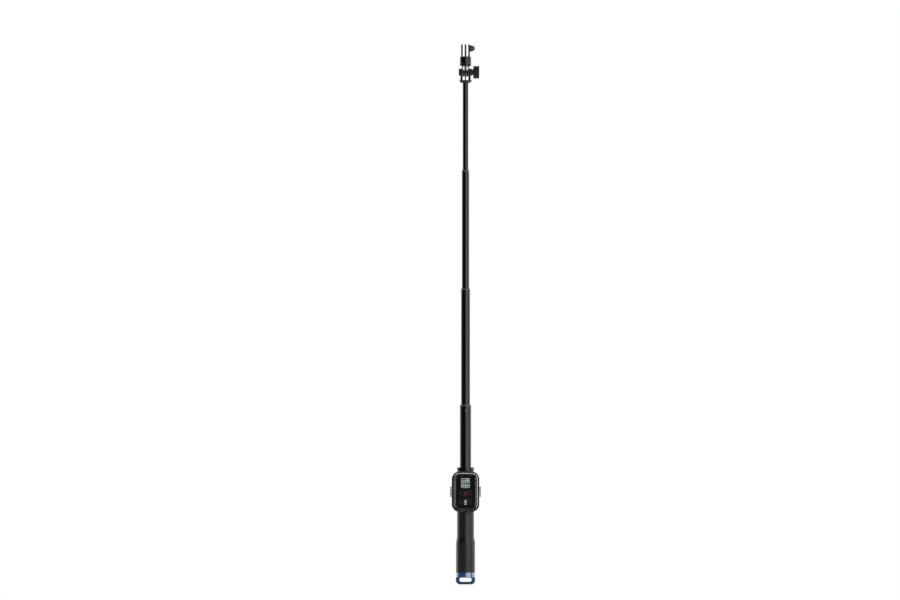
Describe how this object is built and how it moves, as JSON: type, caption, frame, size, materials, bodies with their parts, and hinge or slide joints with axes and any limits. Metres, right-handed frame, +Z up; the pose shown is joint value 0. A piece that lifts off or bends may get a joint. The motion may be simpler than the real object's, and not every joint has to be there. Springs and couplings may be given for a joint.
{
  "type": "selfie stick",
  "caption": "Telescoping twist-lock camera pole with a rubber grip, a clear-fronted remote holder and a tilting, turning finger mount.",
  "frame": {"origin": "centre of the strap loop's flat end, on the pole's axis", "axes": "+Z up the pole towards the camera, -Y the front, where the remote faces, +X the side of the clamp knob"},
  "size_m": [0.0546, 0.0458, 0.9509],
  "materials": {
    "blue_plastic": "matte moulded nylon",
    "blue_anodised": "polished blue anodising",
    "black_rubber": "soft-touch matte",
    "core_plastic": "moulded",
    "black_plastic": "satin glass-filled nylon",
    "clear_plastic": "clear polycarbonate",
    "remote_plastic": "fine satin",
    "window_plastic": "clear lens",
    "display": "liquid crystal panel",
    "button_rubber": "moulded, with printed marks",
    "circuit_board": "solder mask",
    "switch_metal": "tin plate",
    "battery": "foil pouch",
    "foam": "closed-cell foam",
    "black_tube": "satin black anodising",
    "guide_plastic": "acetal",
    "lock_plastic": "glass-filled nylon",
    "steel": "zinc plated",
    "brass": "turned",
    "nylon_washer": "natural nylon"
  },
  "bodies": {
    "handle": {"strap_loop": "blue_plastic", "accent_ring": "blue_anodised", "end_seal": "black_rubber", "handle_core": "core_plastic", "grip_sleeve": "black_rubber", "collar_ring": "black_plastic", "cradle_base": "black_plastic", "cradle_screws": "steel", "pocket_pad": "foam", "hinge_pin": "steel", "remote_front_shell": "remote_plastic", "remote_back_shell": "remote_plastic", "remote_window": "window_plastic", "remote_display": "display", "remote_circuit_board": "circuit_board", "remote_switches": "switch_metal", "remote_battery": "battery", "remote_screws": "steel", "tube_1": "black_tube", "guide_ring_1": "guide_plastic"},
    "frame_door": {"clear_frame": "clear_plastic"},
    "upper_button": {"remote_upper_button": "button_rubber"},
    "lower_button": {"remote_lower_button": "button_rubber"},
    "collet_2": {"collet_2": "lock_plastic"},
    "cone_2": {"expander_cone_2": "lock_plastic"},
    "stage_2": {"tube_2": "black_tube", "guide_ring_2": "guide_plastic", "stop_sleeve_2": "guide_plastic", "lock_plug_2": "lock_plastic"},
    "collet_3": {"collet_3": "lock_plastic"},
    "cone_3": {"expander_cone_3": "lock_plastic"},
    "stage_3": {"tube_3": "black_tube", "guide_ring_3": "guide_plastic", "stop_sleeve_3": "guide_plastic", "lock_plug_3": "lock_plastic"},
    "collet_4": {"collet_4": "lock_plastic"},
    "cone_4": {"expander_cone_4": "lock_plastic"},
    "stage_4": {"tube_4": "black_tube", "stop_sleeve_4": "guide_plastic", "lock_plug_4": "lock_plastic", "head_fork": "black_plastic", "pivot_nut": "steel"},
    "knob_washer": {"knob_washer": "steel"},
    "knob": {"clamp_knob": "black_plastic", "pivot_bolt": "steel", "knob_cap": "black_plastic"},
    "tilt_head": {"swivel_base": "black_plastic", "swivel_washer": "nylon_washer"},
    "finger_head": {"finger_mount": "black_plastic", "swivel_screw": "steel", "nut_cap": "black_plastic", "camera_nut": "brass"}
  },
  "joints": [
    {"name": "frame_hinge", "type": "hinge", "parent": "handle", "child": "frame_door", "pos_m": [0, -0.019, 0.1293], "axis": [1, 0, 0], "range_deg": [0, 100]},
    {"name": "upper_button_press", "type": "slide", "parent": "handle", "child": "upper_button", "axis": [0, 1, 0], "range_m": [0, 0.0006], "stiffness_N_per_m": 1200},
    {"name": "lower_button_press", "type": "slide", "parent": "handle", "child": "lower_button", "axis": [0, 1, 0], "range_m": [0, 0.0006], "stiffness_N_per_m": 1200},
    {"name": "stage_2_slide", "type": "slide", "parent": "handle", "child": "collet_2", "axis": [0, 0, 1], "range_m": [-0.2047, 0.0037]},
    {"name": "stage_2_twist", "type": "hinge", "parent": "collet_2", "child": "stage_2", "pos_m": [0, 0, 0.48075], "axis": [0, 0, 1], "range_deg": [0, 180]},
    {"name": "cone_2_travel", "type": "slide", "parent": "collet_2", "child": "cone_2", "axis": [0, 0, 1], "range_m": [-0.0008, 0]},
    {"name": "stage_3_slide", "type": "slide", "parent": "stage_2", "child": "collet_3", "axis": [0, 0, 1], "range_m": [-0.2084, 0]},
    {"name": "stage_3_twist", "type": "hinge", "parent": "collet_3", "child": "stage_3", "pos_m": [0, 0, 0.6892], "axis": [0, 0, 1], "range_deg": [0, 180]},
    {"name": "cone_3_travel", "type": "slide", "parent": "collet_3", "child": "cone_3", "axis": [0, 0, 1], "range_m": [-0.0008, 0]},
    {"name": "stage_4_slide", "type": "slide", "parent": "stage_3", "child": "collet_4", "axis": [0, 0, 1], "range_m": [-0.1534, 0.033]},
    {"name": "stage_4_twist", "type": "hinge", "parent": "collet_4", "child": "stage_4", "pos_m": [0, 0, 0.84265], "axis": [0, 0, 1], "range_deg": [0, 180]},
    {"name": "cone_4_travel", "type": "slide", "parent": "collet_4", "child": "cone_4", "axis": [0, 0, 1], "range_m": [-0.0008, 0]},
    {"name": "washer_travel", "type": "slide", "parent": "stage_4", "child": "knob_washer", "axis": [1, 0, 0], "range_m": [0, 0.0008]},
    {"name": "knob_turn", "type": "hinge", "parent": "knob_washer", "child": "knob", "pos_m": [0.017, 0, 0.90135], "axis": [1, 0, 0], "range_deg": [0, 361]},
    {"name": "head_tilt", "type": "hinge", "parent": "stage_4", "child": "tilt_head", "pos_m": [0, 0, 0.90135], "axis": [1, 0, 0], "range_deg": [-90, 90]},
    {"name": "head_turn", "type": "hinge", "parent": "tilt_head", "child": "finger_head", "pos_m": [0, 0, 0.92175], "axis": [0, 0, 1], "continuous": true}
  ],
  "couplings": [
    {"joint": "cone_2_travel", "follows": "stage_2_twist", "m_per_rad": -0.00023873},
    {"joint": "cone_3_travel", "follows": "stage_3_twist", "m_per_rad": -0.00023873},
    {"joint": "cone_4_travel", "follows": "stage_4_twist", "m_per_rad": -0.00023873},
    {"joint": "knob_turn", "follows": "washer_travel", "rad_per_m": 7854}
  ]
}
